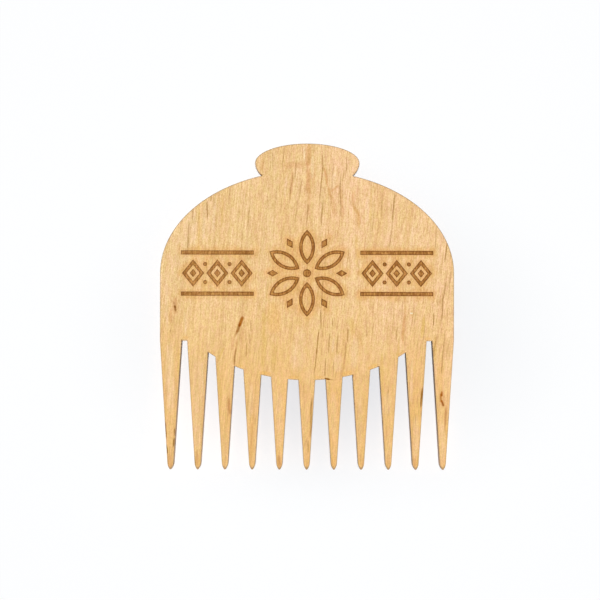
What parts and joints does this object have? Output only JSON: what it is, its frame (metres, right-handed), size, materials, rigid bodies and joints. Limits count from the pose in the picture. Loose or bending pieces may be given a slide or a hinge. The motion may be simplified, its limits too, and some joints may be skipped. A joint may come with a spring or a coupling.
{
  "type": "wooden comb",
  "caption": "Flat wooden beard comb with a domed body, an oval finger grip and tapered teeth along a curved root line, with a shallow engraved ornament in its face.",
  "frame": {"origin": "on the back face, in the middle of the outline's width and length", "axes": "+X to the right across the teeth, +Y from the tooth tips to the finger grip, +Z out of the engraved face; it lies on its back face"},
  "size_m": [0.08, 0.0888, 0.004],
  "materials": {
    "face_wood": "sanded and lightly oiled honey-coloured veneer, satin, with laser-toasted engraving and edges",
    "core_wood": "cross-grained core veneer, seen only as a scorched cut edge",
    "back_wood": "sanded and lightly oiled honey-coloured veneer, satin",
    "glue_film": "cured dark wood glue, matt"
  },
  "bodies": {
    "root": {"face_veneer": "face_wood", "face_glue_line": "glue_film", "core_veneer": "core_wood", "back_glue_line": "glue_film", "back_veneer": "back_wood"}
  },
  "joints": []
}
